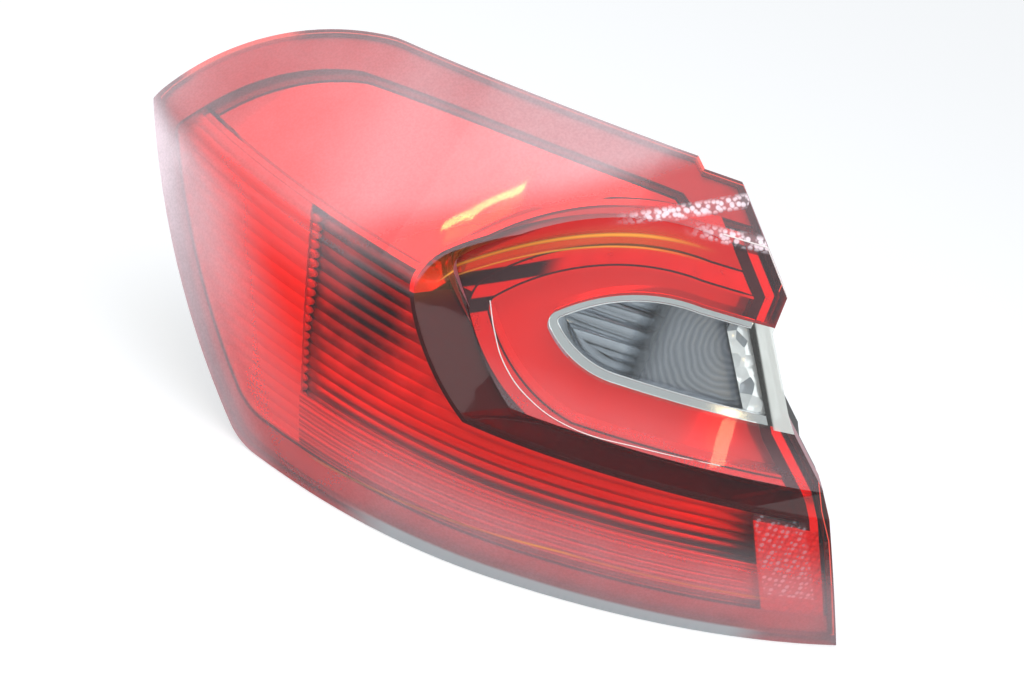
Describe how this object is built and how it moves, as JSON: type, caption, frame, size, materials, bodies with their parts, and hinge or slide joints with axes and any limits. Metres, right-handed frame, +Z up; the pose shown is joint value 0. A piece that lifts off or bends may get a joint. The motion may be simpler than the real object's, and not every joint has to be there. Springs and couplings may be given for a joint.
{
  "type": "rear lamp cluster",
  "caption": "Wrap-round rear lamp cluster with a hazed red lens, a scooped mouth round a clear leaf-shaped window, ribbed optics and a stud-mounted black housing.",
  "frame": {"origin": "foot of the main fixing stud, on the plane of the body panel", "axes": "+Z up on the car, -Y out of the lens, +Y along the studs into the body, +X towards the middle of the car"},
  "size_m": [0.4177, 0.18, 0.2086],
  "materials": {
    "red_acrylic": "clear red acrylic, hazed by age on its upward faces",
    "clear_acrylic": "clear acrylic",
    "housing_plastic": "moulded, fine grain",
    "bezel_black": "gloss black moulding",
    "frame_grey": "matte grey moulding",
    "metallised": "vapour-metallised plastic",
    "dark_metallised": "thinly metallised plastic",
    "red_optic": "red acrylic light guide",
    "clear_optic": "clear acrylic optic",
    "bulb_glass": "blown glass",
    "cap_metal": "pressed cap",
    "holder_plastic": "glass-filled nylon",
    "seal_rubber": "soft rubber",
    "foam": "closed-cell foam",
    "zinc_steel": "zinc-plated steel"
  },
  "bodies": {
    "root": {"bezel": "bezel_black", "body_gasket": "foam", "brow_liner": "metallised", "clear_window": "clear_acrylic", "crystal_bar": "clear_optic", "edge_frame": "frame_grey", "end_bar_lower": "red_optic", "end_bar_upper": "red_optic", "end_block": "clear_optic", "fog_bowl": "metallised", "fog_bulb": "bulb_glass", "fog_bulb_cap": "cap_metal", "fog_holder": "holder_plastic", "fog_holder_seal": "seal_rubber", "housing": "housing_plastic", "leaf_bezel": "metallised", "leaf_reflector": "metallised", "locating_pin": "holder_plastic", "lower_optic": "metallised", "main_stud": "zinc_steel", "rear_optic": "dark_metallised", "red_lens": "red_acrylic", "retro_reflector": "red_optic", "ring_dish": "metallised", "ripple_lens": "clear_optic", "second_stud": "zinc_steel", "side_optic": "metallised", "stop_bowl": "metallised", "stop_bulb": "bulb_glass", "stop_bulb_cap": "cap_metal", "stop_holder": "holder_plastic", "stop_holder_seal": "seal_rubber", "tail_ring": "red_optic", "turn_bulb": "bulb_glass", "turn_bulb_cap": "cap_metal", "turn_holder": "holder_plastic", "turn_holder_seal": "seal_rubber", "upper_reflector": "metallised", "vent_1": "seal_rubber", "vent_2": "seal_rubber"}
  },
  "joints": []
}
